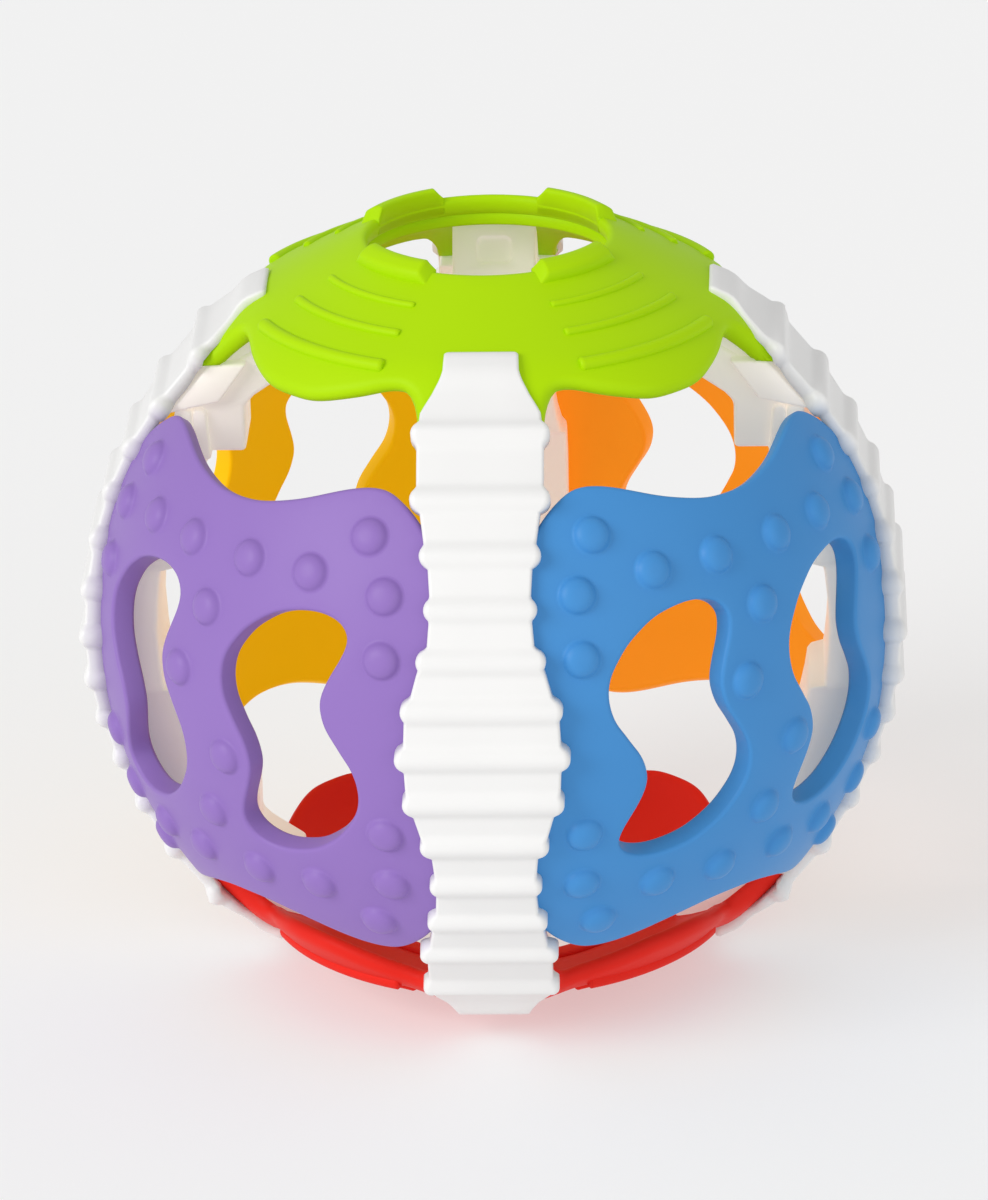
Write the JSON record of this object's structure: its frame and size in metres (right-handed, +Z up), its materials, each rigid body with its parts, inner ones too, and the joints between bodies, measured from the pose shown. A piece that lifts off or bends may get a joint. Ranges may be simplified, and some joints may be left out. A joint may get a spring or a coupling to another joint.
{
  "type": "baby sensory ball",
  "caption": "Hollow flexible grasping ball: soft coloured panels with S-shaped holes and bumps, clamped between ribbed white strips, open round holes at top and bottom.",
  "frame": {"origin": "centre of the ball", "axes": "+Z up through the centre of the top hole; one white strip faces -Y, the others +X, +Y and -X"},
  "size_m": [0.1258, 0.1258, 0.1242],
  "materials": {
    "green_soft": "satin soft plastic",
    "red_soft": "satin soft plastic",
    "purple_soft": "satin soft plastic",
    "blue_soft": "satin soft plastic",
    "orange_soft": "satin soft plastic",
    "yellow_soft": "satin soft plastic",
    "white_gloss": "glossy moulded plastic",
    "white_inner": "glossy moulded plastic"
  },
  "bodies": {
    "root": {"top_dome": "green_soft", "bottom_dome": "red_soft", "panel_front_left": "purple_soft", "panel_front_right": "blue_soft", "panel_back_right": "orange_soft", "panel_back_left": "yellow_soft", "outer_strip_front": "white_gloss", "outer_strip_right": "white_gloss", "outer_strip_back": "white_gloss", "outer_strip_left": "white_gloss", "inner_strip_front": "white_inner", "inner_strip_right": "white_inner", "inner_strip_back": "white_inner", "inner_strip_left": "white_inner"}
  },
  "joints": []
}
